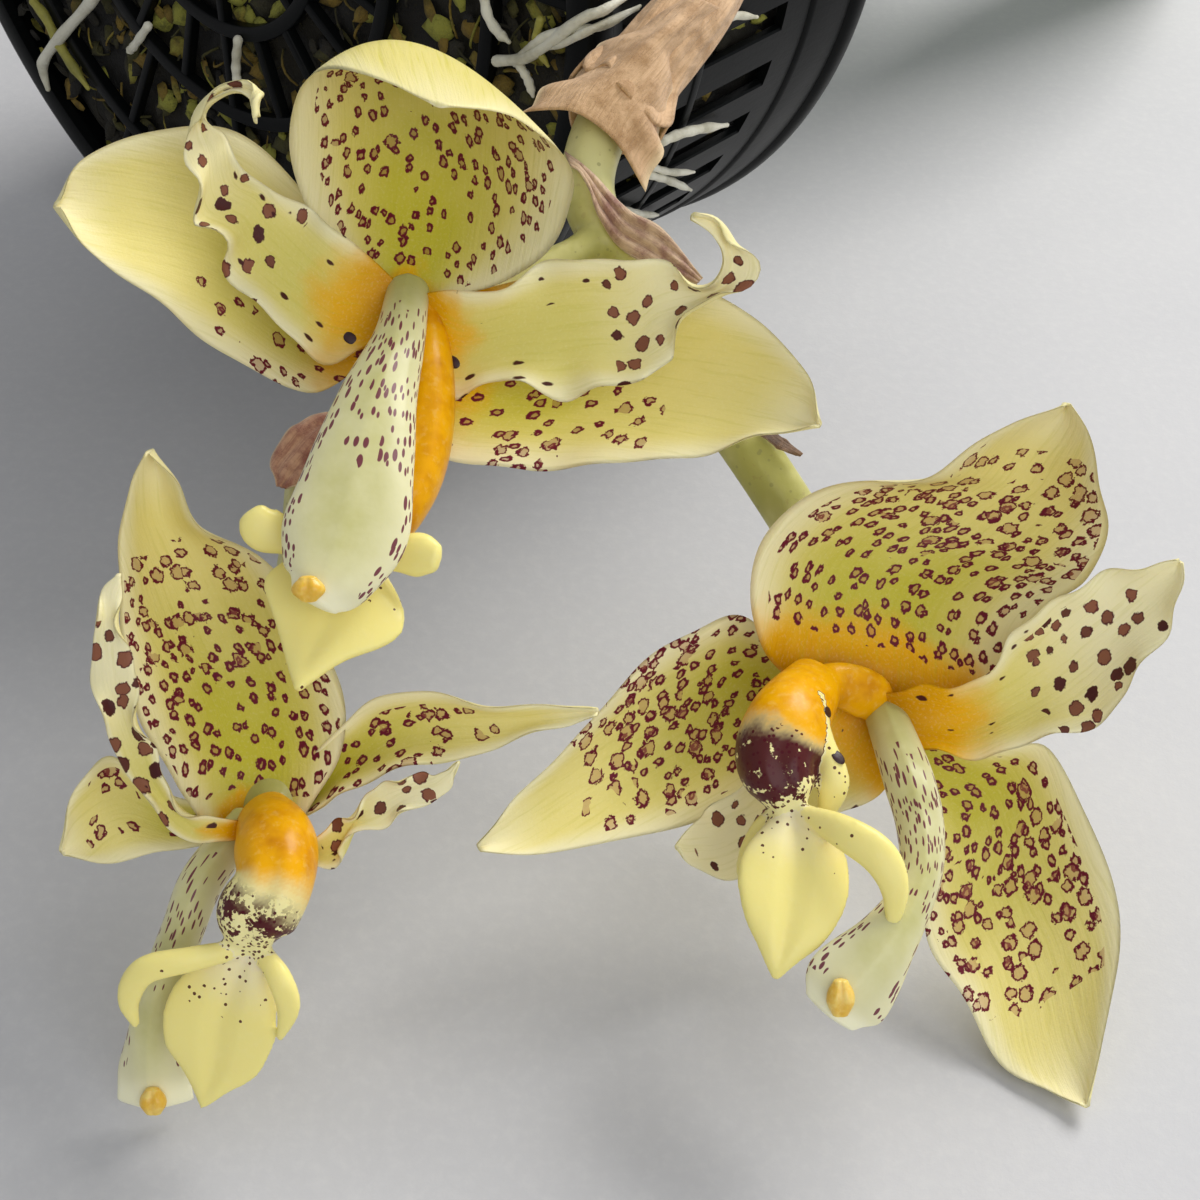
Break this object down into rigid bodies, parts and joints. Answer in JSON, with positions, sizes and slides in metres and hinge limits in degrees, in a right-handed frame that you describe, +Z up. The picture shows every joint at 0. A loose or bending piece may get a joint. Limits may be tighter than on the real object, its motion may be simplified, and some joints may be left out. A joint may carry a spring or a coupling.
{
  "type": "potted stanhopea oculata orchid",
  "caption": "Potted orchid in flower, its slatted basket laid on its side, with large spotted hanging flowers on a thick stem that leaves through the basket's wall",
  "frame": {"origin": "middle of the underside of the plant as it lies", "axes": "+Z up, +Y from the flowers back past the basket to the leaf tips, +X to the viewer's right"},
  "size_m": [0.3146, 0.5126, 0.1972],
  "materials": {
    "basket": "satin black moulding",
    "moss": "damp moss and bark",
    "stem": "smooth plant skin",
    "bract": "dry papery",
    "petal": "waxy, spotted",
    "lip": "glossy wax",
    "column": "smooth, speckled",
    "anther": "smooth",
    "bulb": "ribbed skin",
    "leaf": "pleated, satin"
  },
  "bodies": {
    "root": {"flower_stem": "stem", "bract_long": "bract", "sheath": "bract", "bract_small": "bract", "bract_hidden": "bract", "flower_1_anther_cap": "anther", "flower_1_column": "column", "flower_1_lip": "lip", "flower_1_left_petal": "petal", "flower_1_right_petal": "petal", "flower_1_upper_sepal": "petal", "flower_1_left_sepal": "petal", "flower_1_right_sepal": "petal", "flower_2_anther_cap": "anther", "flower_2_column": "column", "flower_2_lip": "lip", "flower_2_left_petal": "petal", "flower_2_right_petal": "petal", "flower_2_upper_sepal": "petal", "flower_2_left_sepal": "petal", "flower_2_right_sepal": "petal", "flower_3_anther_cap": "anther", "flower_3_column": "column", "flower_3_lip": "lip", "flower_3_left_petal": "petal", "flower_3_right_petal": "petal", "flower_3_upper_sepal": "petal", "flower_3_left_sepal": "petal", "flower_3_right_sepal": "petal", "basket": "basket", "root_ball": "moss", "pseudobulb_1": "bulb", "pseudobulb_2": "bulb", "pseudobulb_3": "bulb", "leaf_1": "leaf", "leaf_2": "leaf", "leaf_3": "leaf"}
  },
  "joints": []
}
